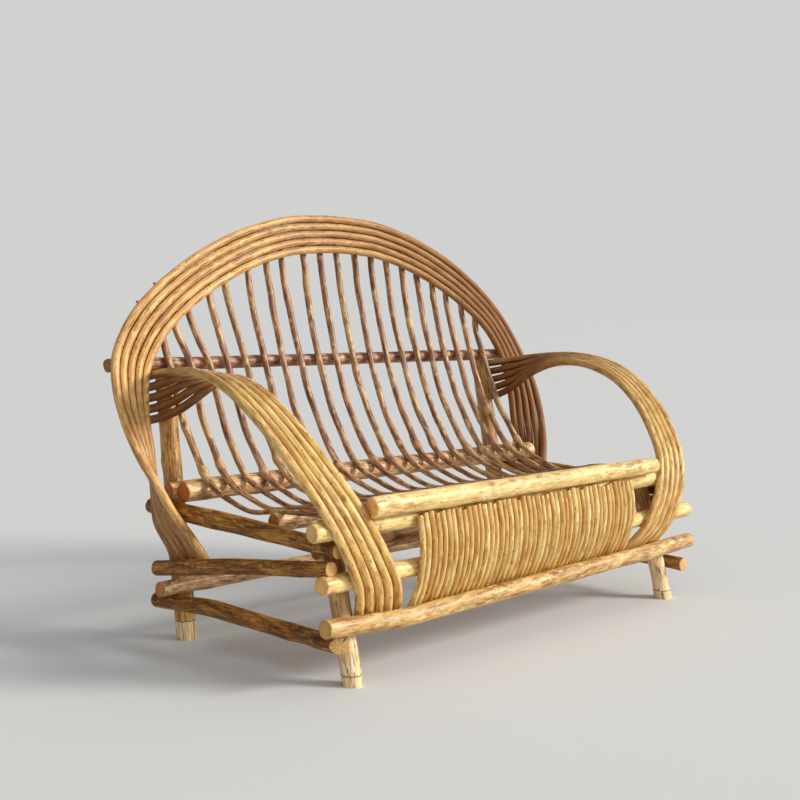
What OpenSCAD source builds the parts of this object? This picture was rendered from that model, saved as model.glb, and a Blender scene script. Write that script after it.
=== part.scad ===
// Bent branch sofa: a frame of round logs nailed one over another, a back
// arch and two arms of five bent rods each, twenty seat slats and a front
// panel of split sticks. Millimetres, +Z up, front towards -Y, origin on the
// floor under the middle.

/* [Bent rods] */
// Diameter of the arch and arm rods
rod_d = 20.4; // [18:0.2:20.6]
// Room left between neighbouring rods of a band, measured at rest
band_gap = 0.8; // [0.4:0.1:2]
// Diameter of the seat slats
slat_d = 18; // [14:0.5:18]
// Distance between neighbouring slats
slat_pitch = 59.7; // [57:0.1:59.8]
// How much the seat sags between the low logs and the support log
seat_sag = 18; // [10:1:20]

/* [Panel] */
// Number of sticks in the front panel
stick_count = 46; // [38:1:46]
// Widest stick of the panel
stick_d = 16.6; // [12:0.2:16.6]

/* [Logs] */
// Diameter of the front legs
leg_d = 45; // [40:1:48]
// Diameter of the rear posts at the floor
post_d = 51; // [46:1:53]
// Diameter of the lower front cross rail and the front bottom rail
cross_d = 41; // [36:1:43]
// Diameter of the upper front cross rail
upper_cross_d = 42; // [38:1:44]
// Largest diameter of the seat front rail
seat_rail_d = 47; // [42:1:49]
// Diameter of the front one of the two low back logs
back_log_d = 49; // [44:1:50]
// Diameter of the top back rail
top_rail_d = 33; // [30:1:35]
// Diameter of the log under the middle of the seat
support_log_d = 43; // [36:1:46]

/* [Layout] */
// Distance from the middle to the top of each rear post
post_x = 572; // [570:1:574]
// Distance from the middle to each front foot
foot_x = 567; // [560:1:570]
// Backward lean of the front legs, per unit of height
leg_lean = 0.235; // [0.21:0.005:0.25]
// Backward lean of the rear posts, per unit of height
post_lean = 0.228; // [0.224:0.001:0.23]
// Height of the lower front cross rail
lower_cross_z = 226; // [222:1:229]
// Height of the front bottom rail at the legs
bottom_rail_z = 134; // [128:1:138]
// Height of the upper front cross rail
upper_cross_z = 333; // [331:1:335]
// Height of the top back rail
top_rail_z = 650; // [640:1:655]

/* [Hidden] */
fit = 0.3;
sides = 10;
$fn = 48;
rod_r = rod_d / 2;
slat_r = slat_d / 2;
band_pitch = rod_d + band_gap;
// The rows of the bent rods were measured with this pitch
band_pitch_drawn = 21.2;

// Everything at the two sides keeps its distance from the outer slats
slat_pitch_drawn = 59.7;
spread = 9.5 * (slat_pitch - slat_pitch_drawn);
function out(x) = x + sign(x) * spread;

// Small maths
function unit(v) = v / norm(v);
function mix(a, b, t) = a + (b - a) * t;
function lean_gap(lean, d) = d * sqrt(1 + lean * lean);

// Smooth curve through rows of numbers, spaced by the length of each chord
function chord(P, i) = norm([for (k = [0:2]) P[i + 1][k] - P[i][k]]);
function slope(P, i) =
    i == 0 ? (P[1] - P[0]) / chord(P, 0)
    : i == len(P) - 1 ? (P[i] - P[i - 1]) / chord(P, i - 1)
    : let (a = chord(P, i - 1), b = chord(P, i))
      ((P[i + 1] - P[i]) / b * a + (P[i] - P[i - 1]) / a * b) / (a + b);
function on_span(P, i, u) =
    let (h = chord(P, i), m = slope(P, i) * h, n = slope(P, i + 1) * h,
         d = P[i + 1] - P[i])
    P[i] + u * (m + u * ((3 * d - 2 * m - n) + u * (m + n - 2 * d)));
function smooth(P, K) = concat(
    [for (i = [0:len(P) - 2]) for (s = [0:K[i] - 1]) on_span(P, i, s / K[i])],
    [P[len(P) - 1]]);
function xyz(row) = [row[0], row[1], row[2]];
function along(C, i) = unit(C[min(i + 1, len(C) - 1)] - C[max(i - 1, 0)]);
function reversed(L) = [for (i = [len(L) - 1:-1:0]) L[i]];
function mirrored(p) = [-p[0], p[1], p[2]];

// Frame lines
post_r = post_d / 2;
leg_r = leg_d / 2;
leg_foot_y = -334;
post_top_r = post_r - 2;
// The top rail drops a little to the right. It lies on the posts, which are sawn
// level under it
top_rail_y = 362;
function top_rail_at(x) = top_rail_z - 0.0066 * x;
function post_top_z(side) = top_rail_at(side * post_x) - top_rail_d / 2 - fit - 0.2;
function post_y(z) = top_rail_y - post_lean * (post_top_z(0) - z);
// The left post spreads towards its foot, the right one stands in a little
function post_at(side, z) =
    post_x + spread + (side < 0 ? 0.063 : -0.036) * (post_top_z(0) - z);
function leg_y(z) = leg_foot_y + leg_lean * z;
// The right front leg is splayed a little more than the left one
foot_out = foot_x + spread;
function leg_x(side, z) = side < 0 ? foot_out : foot_out + 1 - 0.064 * z;
back_y = top_rail_y - lean_gap(0.27, top_rail_d / 2 + rod_r + fit + 2.6);

// The lower two front rails are nailed to the front of the legs
leg_gap = leg_r + cross_d / 2 + fit;
function lower_z(side) = lower_cross_z + side * 3.5;
function bottom_z(side) = bottom_rail_z + (side < 0 ? -2 : 12);
function nailed_y(z) = leg_y(z) - lean_gap(leg_lean, leg_gap);
function over_legs(x, zl, zr) =
    let (t = (x + foot_out) / (2 * foot_out))
    [x, mix(nailed_y(zl), nailed_y(zr), t), mix(zl, zr, t)];
function lower_axis(x) = over_legs(x, lower_z(-1), lower_z(1));
bottom_kinks = [out(-655), out(-404), out(404), out(671)];
bottom_dips = [3, -11, 5, 14];
function bottom_axis(x) =
    let (k = x < bottom_kinks[1] ? 0 : x < bottom_kinks[2] ? 1 : 2,
         t = (x - bottom_kinks[k]) / (bottom_kinks[k + 1] - bottom_kinks[k]),
         p = over_legs(x, bottom_z(-1), bottom_z(1)))
    [x, p[1], bottom_rail_z + mix(bottom_dips[k], bottom_dips[k + 1], t)];
lower_y = nailed_y(lower_cross_z);
upper_y = lower_y + 5;
seat_rail_y = upper_y - 30;
seat_rail_z = upper_cross_z + 41.5;
seat_rail_end_d = seat_rail_d - 5;

// Side rails, given for the left side and mirrored for the right
side_rail_d = [39, 45, 36];
side_kink_y = 60;
side_rear_y = 322;
side_front_y = -337;
side_z = [314, 308, upper_cross_z - upper_cross_d / 2 - 18 - fit - 1.2];
function side_x(side, y) =
    let (yp = post_y(313), yl = leg_y(292),
         xp = post_at(side, 313) + post_r - 0.5 + 20.2 + fit + 0.2,
         xl = leg_x(side, 292) + leg_r + 18.9 + fit + 0.2)
    mix(xp, xl, (y - yp) / (yl - yp));
function side_pts(side) = [for (k = [0:2])
    let (y = [side_rear_y, side_kink_y, side_front_y][k])
    [side * side_x(side, y), y, side_z[k]]];
function side_z_at(y) = y > side_kink_y
    ? mix(side_z[1], side_z[0], (y - side_kink_y) / (side_rear_y - side_kink_y))
    : mix(side_z[1], side_z[2], (side_kink_y - y) / (side_kink_y - side_front_y));
function side_r_at(y) = (y > side_kink_y
    ? mix(side_rail_d[1], side_rail_d[0], (y - side_kink_y) / (side_rear_y - side_kink_y))
    : mix(side_rail_d[1], side_rail_d[2], (side_kink_y - y) / (side_kink_y - side_front_y))) / 2;

mid_rear_d = 37;
mid_front_d = 33;
mid_rear_y = 250;
mid_front_y = lower_y - 7;
function mid_x(side, y) =
    mix(post_at(side, mid_rear_z) + post_r + 2 * rod_r + mid_rear_d / 2 + 5.3, out(624.5),
        (mid_rear_y - y) / (mid_rear_y - mid_front_y));
function mid_front_z(side) = lower_axis(out(side * 627))[2] + 32.5;
mid_rear_z = 175;

// Low back logs, lying on the seat side rails against the posts
rear_log_d = back_log_d - 5;
rear_log_y = post_y(355) - lean_gap(post_lean, post_r - 0.5 + rear_log_d / 2 + fit);
rear_log_z = side_z_at(rear_log_y) + side_r_at(rear_log_y) + rear_log_d / 2 + fit;
front_log_z = side_z_at(rear_log_y - 45) + side_r_at(rear_log_y - 45) + back_log_d / 2 + fit;
front_log_y = rear_log_y - sqrt(pow((back_log_d + rear_log_d) / 2 + fit, 2)
    - pow(front_log_z - rear_log_z, 2));

// Slats
over_cross_z = upper_cross_z + upper_cross_d / 2 + slat_r + fit;
support_y = -100;
seat_mid_z = over_cross_z - 12.3;
support_z = seat_mid_z - slat_r - support_log_d / 2 - fit - 0.6;
function slat_x(i) =
    let (w = i < 9.3 ? -8 * sin(180 * i / 9.3) : 12 * sin(180 * (i - 9.3) / 9.7))
    slat_pitch * (i - 9.5) - 5.4 + w;

// Arch band: rows of x, y past the rail, z, twist and pitch. Low down the right
// side comes in with its post
arch_rows = [
    [0, 57, 995, 0, 1],
    [-141, 56, 987, 0, 1],
    [-276, 50, 955, 0, 1],
    [-404, 42, 903, -1, 1],
    [-521, 33, 835, -4, 1],
    [-617, 22, 755, -7, 1],
    [-680, 4.2, 661, -3, 1],
    [-700, -33, 553, 18, 1],
    [-691, -72, 438, 42, 1.01],
    [-682, -99, 365, 66, 1.02],
    [-677, -125, 305, 86, 1.06],
    [-645, -158, 228, 90, 1.34],
    [-628, -166, 178, 94, 1.6]];
arch_pull = [0, 0, 0, 0, 0, 0, 0, 0, 3, 12, 32, 37, 42];
function arch_path(side) = smooth([for (i = [0:len(arch_rows) - 1])
    let (r = arch_rows[i], x = r[0] + (side < 0 ? 0 : arch_pull[i]))
    [x - spread * min(1, -r[0] / 617), r[1] + back_y, r[2], r[3], r[4] * band_pitch]],
    [2, 2, 2, 2, 2, 2, 2, 1, 1, 1, 1, 1]);
function arch_across(P) =
    let (C = [for (r = P) xyz(r)], n = unit([0, 1, -0.17]))
    [for (i = [0:len(P) - 1])
        let (t = i == 0 ? [-1, 0, 0] : along(C, i), r = unit(cross(n, t)), w = P[i][3])
        cos(w) * r - sin(w) * cross(t, r)];
// Rod 1 is the outermost of the band, rod 5 the innermost
function arch_half(P, U, k) =
    [for (i = [0:len(P) - 1]) xyz(P[i]) + (3 - k) * P[i][4] * U[i]];
inner_rod = arch_half(arch_path(-1), arch_across(arch_path(-1)), 5);
inner_z = [for (i = [0:13]) [-inner_rod[i][0], inner_rod[i][2]]];
inner_y = [for (i = [0:13]) [-inner_rod[i][0], inner_rod[i][1]]];

// Arm band: rows of x, y, z, twist and pitch for the left arm, mirrored for the
// right. The rear ends lie against the posts, under the top rail
function arm_top_z(side) = post_top_z(side) - rod_r - 0.8;
// Line that passes in front of one rail and behind the one below it
function between(a, ra, b, rb) =
    let (d = b - a, w = atan2(d[1], d[0]) - acos((ra + rb) / norm(d)),
         n = [cos(w), sin(w)], down = [-sin(w), cos(w)])
    [a + ra * n, b - rb * n, b - rb * n + 32 * down];
function arm_feet(side, r) =
    let (p = lower_axis(out(side * 505)), q = bottom_axis(out(side * 470)))
    between([p[1], p[2]], cross_d / 2 + r + fit + (side < 0 ? 2.6 : 4.4),
            [q[1], q[2]], cross_d / 2 + r + fit + 1.5);
function arm_rows(side) =
    let (f = arm_feet(side, rod_r), p = lower_axis(out(side * 530)),
         tuck = side < 0 ? 0 : 3, w = side < 0 ? 94 : 88, top = arm_top_z(side),
         x = post_at(side, top - 54) + post_top_r + rod_r + fit + 1.4 - spread)
    [[-x, 384, top - 58, w, 27],
     [-x - 6.5, 304, top - 45, w - 8, 26.4],
     [-625, 213, 608, 44, 24],
     [-636, 70, 643, 11, 21.6],
     [-656, -65, 624, 3, 21.1],
     [-650, -186, 555, 0, 21.3],
     [-624, -282, 451, 0, 22.6],
     [-579, upper_y - upper_cross_d / 2 - rod_r - fit - 1.6, upper_cross_z + 5, 0, 24.4],
     [-530 + tuck, p[1] - cross_d / 2 - rod_r - fit - 2.6, p[2] + 16, 0, 26],
     [-511 + 2 * tuck, f[0][0], f[0][1], 0, 26.8],
     [-482 + 3 * tuck, f[1][0], f[1][1], 0, 28 - tuck / 3],
     [-470 + 3 * tuck, f[2][0], f[2][1], 0, 28.4 - tuck / 3]];
function arm_path(side) = smooth([for (r = arm_rows(side))
    [r[0] - spread, r[1], r[2], r[3], r[4] + band_pitch - band_pitch_drawn]],
    [1, 2, 2, 2, 2, 2, 2, 1, 1, 2, 1]);
function arm_u(C, i, w) =
    let (v = unit(cross([-1, 0, 0], along(C, i)))) [-cos(w), 0, 0] + sin(w) * v;
function arm_rod_line(side, k) =
    let (P = arm_path(side), C = [for (r = P) xyz(r)])
    [for (i = [0:len(P) - 1]) C[i] + (3 - k) * P[i][4] * arm_u(C, i, P[i][3])];
function arm_rod_u(side) =
    let (P = arm_path(side), C = [for (r = P) xyz(r)])
    [for (i = [0:len(P) - 1]) arm_u(C, i, P[i][3])];

// Slat line. Above the top rail some slats of the left half lean out by slat_fan
seat_rail_ends = [out(-530), out(532)];
function seat_rail_r(x) = mix(seat_rail_d, seat_rail_end_d,
    (x - seat_rail_ends[0]) / (seat_rail_ends[1] - seat_rail_ends[0])) / 2;
slat_fan = [0, 19, 34, 23, 29, 10, 5, 16, 0, 0, 5, 0, 0, 5, 5, 6, 2, 5, 0, 0];
function slat_line(i) =
    let (x = slat_x(i), xt = x - slat_fan[i], a = abs(xt),
         z5 = lookup(a, inner_z), y5 = lookup(a, inner_y),
         rise = (lookup(a - 6, inner_z) - lookup(a + 6, inner_z)) / 12,
         sec = sqrt(1 + rise * rise), behind = (rod_r + slat_r + fit) * 1.03 + 1.4,
         ze = z5 - (rod_r + slat_r) * sec, zt = z5 + 13 * sec,
         rl = back_log_d / 2 + slat_r + fit + 0.2, g = i / 19,
         yr = top_rail_y - lean_gap(0.58, top_rail_d / 2 + slat_r + fit),
         zr = top_rail_at(x),
         yl = front_log_y - rl * cos(45), zl = front_log_z + rl * sin(45))
    smooth([
        [xt, y5 + 0.17 * (zt - z5) + behind, zt],
        [xt, y5 + 0.17 * (ze - z5) + behind, ze],
        [x, yr, zr],
        [x, mix(yr, yl, 0.325), mix(zr, zl, 0.46)],
        [x, mix(yr, yl, 0.625), mix(zr, zl, 0.74)],
        [x, yl, zl],
        [x, 95, seat_mid_z - 7 * g],
        [x, 20, seat_mid_z - seat_sag * (0.75 + 0.5 * g)],
        [x, support_y, seat_mid_z],
        [x, upper_y, over_cross_z],
        [x, seat_rail_y + seat_rail_r(x) + fit + (abs(x) > 540 + spread ? 2 : 0),
            over_cross_z + 0.4]],
        [1, 2, 2, 2, 2, 2, 1, 1, 2, 1]);

// Panel sticks: one arc that touches three rails
panel_end = out(384);
function stick_arc(a, sa, b, sb, c, sc) =
    let (p = 2 * (b - a), q = 2 * (c - a),
         e = sa * sa - sb * sb - a * a + b * b, f = sa * sa - sc * sc - a * a + c * c,
         dp = 2 * (sa - sb), dq = 2 * (sa + sc), det = p[0] * q[1] - p[1] * q[0],
         m = [(e * q[1] - p[1] * f) / det, (p[0] * f - e * q[0]) / det],
         n = [(-dp * q[1] + p[1] * dq) / det, (-p[0] * dq + dp * q[0]) / det],
         g = m - a, A = n * n - 1, B = 2 * (n * g + sa), C = g * g - sa * sa,
         w = sqrt(B * B - 4 * A * C), r1 = (-B + w) / (2 * A), r2 = (-B - w) / (2 * A),
         r = (m + r1 * n)[0] > a[0] ? r1 : r2)
    [m + r * n, r];

// Shapes, all placed by frame_shift so that the origin is at mid depth
frame_shift = [0, -20.1, 0];

module log(p, q, d1, d2) {
    v = q - p;
    translate(p + frame_shift)
        rotate([0, acos(v[2] / norm(v)), atan2(v[1], v[0])])
            rotate([0, 0, 20]) cylinder(h = norm(v), d1 = d1, d2 = d2);
}

// Each bend is a knot, a little thicker than the log
module crooked_log(P, D, turn = [0, 0, 0]) {
    for (i = [0:len(P) - 2]) log(P[i], P[i + 1], D[i], D[i + 1]);
    for (i = [1:len(P) - 2]) translate(P[i] + frame_shift) rotate(turn) sphere(d = D[i] + 1.6);
}

// Round rod along the points C, turned so that a flat faces its neighbour
module bent_rod(C, U, r) {
    n = len(C);
    rv = r / sqrt(cos(180 / sides));
    ring = [for (i = [0:n - 1])
        let (t = along(C, i), u = unit(U[i] - (U[i] * t) * t), v = cross(t, u))
        for (j = [0:sides - 1])
            let (w = 360 / sides * (j + 0.5)) C[i] + frame_shift + rv * (cos(w) * u + sin(w) * v)];
    skin = [for (i = [0:n - 2]) for (j = [0:sides - 1])
        let (k = (j + 1) % sides, a = i * sides, b = a + sides)
        each [[a + j, b + j, b + k], [a + j, b + k, a + k]]];
    polyhedron(points = ring, faces = concat(skin,
        [[for (j = [0:sides - 1]) j], [for (j = [sides - 1:-1:0]) (n - 1) * sides + j]]));
}

module arch_rod(k) {
    left = arch_path(-1);
    right = arch_path(1);
    U = arch_across(left);
    V = arch_across(right);
    H = arch_half(right, V, k);
    last = len(H) - 1;
    color("peru") bent_rod(
        concat(reversed(arch_half(left, U, k)), [for (i = [1:last]) mirrored(H[i])]),
        concat(reversed(U), [for (i = [1:last]) mirrored(V[i])]), rod_r);
}

module arm_rod(side, k) {
    C = arm_rod_line(side, k);
    U = arm_rod_u(side);
    color("burlywood")
        bent_rod(side < 0 ? C : [for (p = C) mirrored(p)],
                 side < 0 ? U : [for (u = U) mirrored(u)], rod_r);
}

module seat_slat(i) {
    C = slat_line(i - 1);
    color("rosybrown") bent_rod(C, [for (p = C) [1, 0, 0]], slat_r);
}

module front_leg(side) {
    top = 338;
    color("tan") difference() {
        log([side * leg_x(side, -20), leg_y(-20), -20],
            [side * leg_x(side, top), leg_y(top), top], leg_d, leg_d);
        translate([side * foot_out - 100, leg_foot_y - 100, -60]) cube([200, 200, 60]);
    }
}

module rear_post(side) {
    top = post_top_z(side) + 20;
    color("tan") difference() {
        log([side * post_at(side, -20), post_y(-20), -20],
            [side * post_at(side, top), post_y(top), top], post_d, 2 * post_top_r);
        translate([side * post_at(side, 0) - 100, post_y(0) - 100, -60])
            cube([200, 200, 60]);
        translate([side * post_at(side, top) - 100, top_rail_y - 120, post_top_z(side)])
            cube([200, 240, 60]);
    }
}

module seat_front_rail() {
    color("wheat") log([seat_rail_ends[0], seat_rail_y, seat_rail_z],
        [seat_rail_ends[1], seat_rail_y, seat_rail_z],
        seat_rail_d, seat_rail_end_d);
}

module upper_front_cross_rail() {
    color("wheat") log([out(-668), upper_y, upper_cross_z], [out(606), upper_y, upper_cross_z],
        upper_cross_d, upper_cross_d);
}

module lower_front_cross_rail(extra = 0) {
    color("wheat") log(lower_axis(out(-648)), lower_axis(out(684)),
        cross_d + extra, cross_d + extra);
}

module inner_cross_rail() {
    d = 38;
    z = 271;
    y = leg_y(z) + lean_gap(leg_lean, leg_r + d / 2 + fit);
    color("sienna") log([out(-582), y, z], [out(566), y, z], d, d);
}

module front_bottom_rail() {
    color("burlywood") crooked_log([for (x = bottom_kinks) bottom_axis(x)],
        [cross_d - 2, cross_d, cross_d, cross_d - 2], [0, 80, 0]);
}

module top_back_rail() {
    color("rosybrown") log([out(-732), top_rail_y, top_rail_at(-732)],
        [out(700), top_rail_y, top_rail_at(700)], top_rail_d, top_rail_d);
}

module low_back_log_front() {
    color("tan") log([out(-628), front_log_y, front_log_z], [out(631), front_log_y, front_log_z],
        back_log_d, back_log_d);
}

module low_back_log_rear() {
    color("tan") log([out(-638), rear_log_y, rear_log_z], [out(622), rear_log_y, rear_log_z],
        rear_log_d, rear_log_d);
}

module seat_support_log() {
    x1 = side_x(-1, support_y) - side_r_at(support_y) - 2;
    x2 = side_x(1, support_y) - side_r_at(support_y) - 2;
    color("sienna") log([-x1, support_y, support_z], [x2, support_y, support_z],
        support_log_d, support_log_d);
}

bottom_side_d = [39, 39, 37];
function bottom_side_x(side, y) =
    let (yp = post_y(92), yl = leg_y(95),
         xp = post_at(side, 92) + post_r - 0.1 + 19.5 + fit + 0.2,
         xl = leg_x(side, 95) + leg_r + 18.8 + fit + 0.3)
    mix(xp, xl, (y - yp) / (yl - yp));
bottom_side_y = [276, 60, -352];
bottom_side_z = [92, 104, 92];

rear_cross_d = 37;
rear_cross_y = post_y(135) - lean_gap(post_lean, post_r - 0.1 + rear_cross_d / 2 + fit);
rear_cross_z = mix(bottom_side_z[1], bottom_side_z[0],
    (rear_cross_y - bottom_side_y[1]) / (bottom_side_y[0] - bottom_side_y[1]))
    + (39 + rear_cross_d) / 2 + fit + 0.2;

module bottom_side_rail(side) {
    ends = [bottom_side_y[0], bottom_side_y[1], side < 0 ? -352 : -372];
    color("peru") crooked_log([for (k = [0:2])
        [side * bottom_side_x(side, ends[k]), ends[k], bottom_side_z[k]]], bottom_side_d);
}

module rear_cross_rail() {
    color("rosybrown") log([out(-696), rear_cross_y, rear_cross_z - 0.4],
        [out(660), rear_cross_y, rear_cross_z + 6], rear_cross_d, rear_cross_d);
}

module seat_side_rail(side) {
    color("peru") crooked_log(side_pts(side), side_rail_d);
}

// The front end is notched where it lies over the lower front cross rail
module mid_side_rail(side) {
    color("peru") difference() {
        crooked_log([
            [side * mid_x(side, mid_rear_y), mid_rear_y, mid_rear_z],
            [side * (mid_x(side, -20) + 5), -20, mix(mid_front_z(side), mid_rear_z, 0.54) + 6],
            [side * mid_x(side, mid_front_y), mid_front_y, mid_front_z(side)]],
            [mid_rear_d, mid_rear_d, mid_front_d]);
        lower_front_cross_rail(2 * fit);
    }
}

module front_panel_sticks() {
    pitch = 2 * panel_end / (stick_count - 1);
    color("wheat") for (i = [0:stick_count - 1]) {
        x = -panel_end + pitch * i;
        d = min(pitch - 0.4, stick_d) - 1.1 * (1 + sin(i * 137));
        lo = lower_axis(x);
        bo = bottom_axis(x);
        arc = stick_arc([lo[1], lo[2]], (cross_d + d) / 2 + fit,
                        [upper_y, upper_cross_z], (upper_cross_d + d) / 2 + fit,
                        [bo[1], bo[2]], (cross_d + d) / 2 + fit);
        c = arc[0];
        top = asin((seat_rail_z - seat_rail_d / 2 - 5 + 2.4 * sin(i * 73) - c[1]) / arc[1]);
        low = asin((c[1] - bo[2] + 14 + 2 * sin(i * 51)) / arc[1]);
        translate([x, c[0], c[1]] + frame_shift) rotate([90, 0, 90]) rotate([0, 0, 180 - top])
            rotate_extrude(angle = top + low, $fn = 200) translate([arc[1], 0])
                circle(d = d, $fn = 24);
    }
}

front_leg(-1);  // front_leg_left
front_leg(1);  // front_leg_right
rear_post(-1);  // rear_post_left
rear_post(1);  // rear_post_right
seat_front_rail();
upper_front_cross_rail();
lower_front_cross_rail();
inner_cross_rail();
front_bottom_rail();
top_back_rail();
low_back_log_front();
low_back_log_rear();
seat_support_log();
rear_cross_rail();
seat_side_rail(-1);  // seat_side_rail_left
seat_side_rail(1);  // seat_side_rail_right
mid_side_rail(-1);  // mid_side_rail_left
mid_side_rail(1);  // mid_side_rail_right
bottom_side_rail(-1);  // bottom_side_rail_left
bottom_side_rail(1);  // bottom_side_rail_right
front_panel_sticks();
arch_rod(1);  // arch_rod_1
arch_rod(2);  // arch_rod_2
arch_rod(3);  // arch_rod_3
arch_rod(4);  // arch_rod_4
arch_rod(5);  // arch_rod_5
arm_rod(-1, 1);  // arm_rod_left_1
arm_rod(-1, 2);  // arm_rod_left_2
arm_rod(-1, 3);  // arm_rod_left_3
arm_rod(-1, 4);  // arm_rod_left_4
arm_rod(-1, 5);  // arm_rod_left_5
arm_rod(1, 1);  // arm_rod_right_1
arm_rod(1, 2);  // arm_rod_right_2
arm_rod(1, 3);  // arm_rod_right_3
arm_rod(1, 4);  // arm_rod_right_4
arm_rod(1, 5);  // arm_rod_right_5
seat_slat(1);  // seat_slat_01
seat_slat(2);  // seat_slat_02
seat_slat(3);  // seat_slat_03
seat_slat(4);  // seat_slat_04
seat_slat(5);  // seat_slat_05
seat_slat(6);  // seat_slat_06
seat_slat(7);  // seat_slat_07
seat_slat(8);  // seat_slat_08
seat_slat(9);  // seat_slat_09
seat_slat(10);  // seat_slat_10
seat_slat(11);  // seat_slat_11
seat_slat(12);  // seat_slat_12
seat_slat(13);  // seat_slat_13
seat_slat(14);  // seat_slat_14
seat_slat(15);  // seat_slat_15
seat_slat(16);  // seat_slat_16
seat_slat(17);  // seat_slat_17
seat_slat(18);  // seat_slat_18
seat_slat(19);  // seat_slat_19
seat_slat(20);  // seat_slat_20
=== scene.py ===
import math
import random

import bmesh
import bpy
import numpy as np
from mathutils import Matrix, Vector
from mathutils.kdtree import KDTree


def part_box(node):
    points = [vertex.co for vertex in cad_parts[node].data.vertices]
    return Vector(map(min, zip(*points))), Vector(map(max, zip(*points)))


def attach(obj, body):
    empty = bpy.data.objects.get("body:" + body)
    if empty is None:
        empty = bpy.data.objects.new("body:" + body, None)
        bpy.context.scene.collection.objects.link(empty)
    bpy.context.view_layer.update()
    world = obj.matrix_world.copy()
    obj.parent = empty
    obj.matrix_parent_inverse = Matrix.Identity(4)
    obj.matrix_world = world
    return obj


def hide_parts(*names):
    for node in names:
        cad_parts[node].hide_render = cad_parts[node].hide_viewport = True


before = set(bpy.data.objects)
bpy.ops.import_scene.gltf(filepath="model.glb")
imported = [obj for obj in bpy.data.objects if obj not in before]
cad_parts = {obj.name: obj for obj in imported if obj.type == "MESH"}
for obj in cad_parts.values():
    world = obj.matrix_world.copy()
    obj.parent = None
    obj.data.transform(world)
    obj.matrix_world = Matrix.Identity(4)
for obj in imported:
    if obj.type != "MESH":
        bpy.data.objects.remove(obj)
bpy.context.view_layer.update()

# Directions: the front of the sofa faces along minus y
ACROSS = (1, 0, 0)
BACKWARDS = (0, 1, 0)
UPWARDS = (0, 0, 1)

# Camera and light, in metres and degrees, lens and sensor in millimetres
CAMERA_PLACE = (-2.249, -2.2601, 0.796)
CAMERA_TURN = 43.66
CAMERA_DIP = 4.354
CAMERA_LENS = 55.4
CAMERA_SENSOR = 36
FLOOR_HALF = 70.0
FLOOR_COLOUR = (0.70, 0.70, 0.685)
FLOOR_ROUGHNESS = 0.9
BACKDROP_COLOUR = (0.641, 0.643, 0.627)
KEY_FROM = (0.58, -0.68, 0.45)
KEY_PLACE = (2, -2, 3)
KEY_STRENGTH = 2.75
KEY_SPREAD = 18
KEY_COLOUR = (1.0, 0.975, 0.93)
SKY_FROM = (0.30, -0.78, 0.50)
SKY_COLOUR = (0.95, 0.97, 1.0)
SKY_DIM = 0.03
SKY_BRIGHT = 0.78

# How each sort of branch grows. Lengths are in metres, shares are of the radius.
# around: faces round the branch, step: distance between rings, size: share of the CAD radius
# swell: slow thick and thin places, ridge: lengthwise ridges of the bark
# knots: knots per metre, knot_rise: height of a knot, knot_length: half its length
# sway: sideways wander, wave: length of its longest wave, bevel: worn rim of a sawn end
# bow: wander towards or away from what the branch lies on
BRANCH_KINDS = {
    "band_rod": dict(around=24, step=0.006, size=0.985, swell=0.022, ridge=0.010, knots=3.2,
                     knot_rise=0.085, knot_length=0.007, sway=0.0003, bow=0.0006, wave=0.34,
                     bevel=0.0010),
    "slat": dict(around=18, step=0.0055, size=0.93, swell=0.055, ridge=0.014, knots=5.0,
                 knot_rise=0.24, knot_length=0.009, sway=0.0026, bow=0.0006, wave=0.42,
                 bevel=0.0008),
    "panel_stick": dict(around=18, step=0.006, size=0.97, swell=0.050, ridge=0.022, knots=5.0,
                        knot_rise=0.10, knot_length=0.006, sway=0.0007, bow=0.0004, wave=0.30,
                        bevel=0.0010),
    "log": dict(around=40, step=0.007, size=0.985, swell=0.030, ridge=0.012, knots=5.5,
                knot_rise=0.12, knot_length=0.014, sway=0.0008, bow=0.0007, wave=0.34,
                bevel=0.0022),
}


# Reading the frame

# Lengths are in metres. CUTS is how many planes a log or a stick is read in.
MERGE_DISTANCE = 1e-5
CUTS = 7
END_GAP = 0.03
END_INSET = 0.001


def cad_points(node):
    """Corner points and triangles of a CAD node's mesh."""
    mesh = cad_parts[node].data
    mesh.calc_loop_triangles()
    points = np.empty(len(mesh.vertices) * 3)
    mesh.vertices.foreach_get("co", points)
    faces = np.empty(len(mesh.loop_triangles) * 3, dtype=int)
    mesh.loop_triangles.foreach_get("vertices", faces)
    return points.reshape(-1, 3), faces.reshape(-1, 3)


def joined_copy(node):
    """A copy of a CAD node's mesh, with the points that lie on each other merged."""
    bm = bmesh.new()
    bm.from_mesh(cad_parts[node].data)
    bmesh.ops.remove_doubles(bm, verts=bm.verts, dist=MERGE_DISTANCE)
    return bm


def rod_line(node, end_axis, end_side, reach):
    """Ring centres of a bent rod, walked from the end that lies furthest along an axis."""
    bm = joined_copy(node)
    first = max(bm.verts, key=lambda v: end_side * v.co[end_axis])
    ring = {v for v in bm.verts if (v.co - first.co).length < reach}
    seen = set(ring)
    centres = []
    widths = []
    while ring:
        middle = sum((v.co for v in ring), Vector()) / len(ring)
        centres.append(np.array(middle))
        widths.append(np.mean([(v.co - middle).length for v in ring]))
        ring = {e.other_vert(v) for v in ring for e in v.link_edges} - seen
        seen |= ring
    bm.free()
    return np.array(centres), np.full(len(centres), np.mean(widths))


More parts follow.
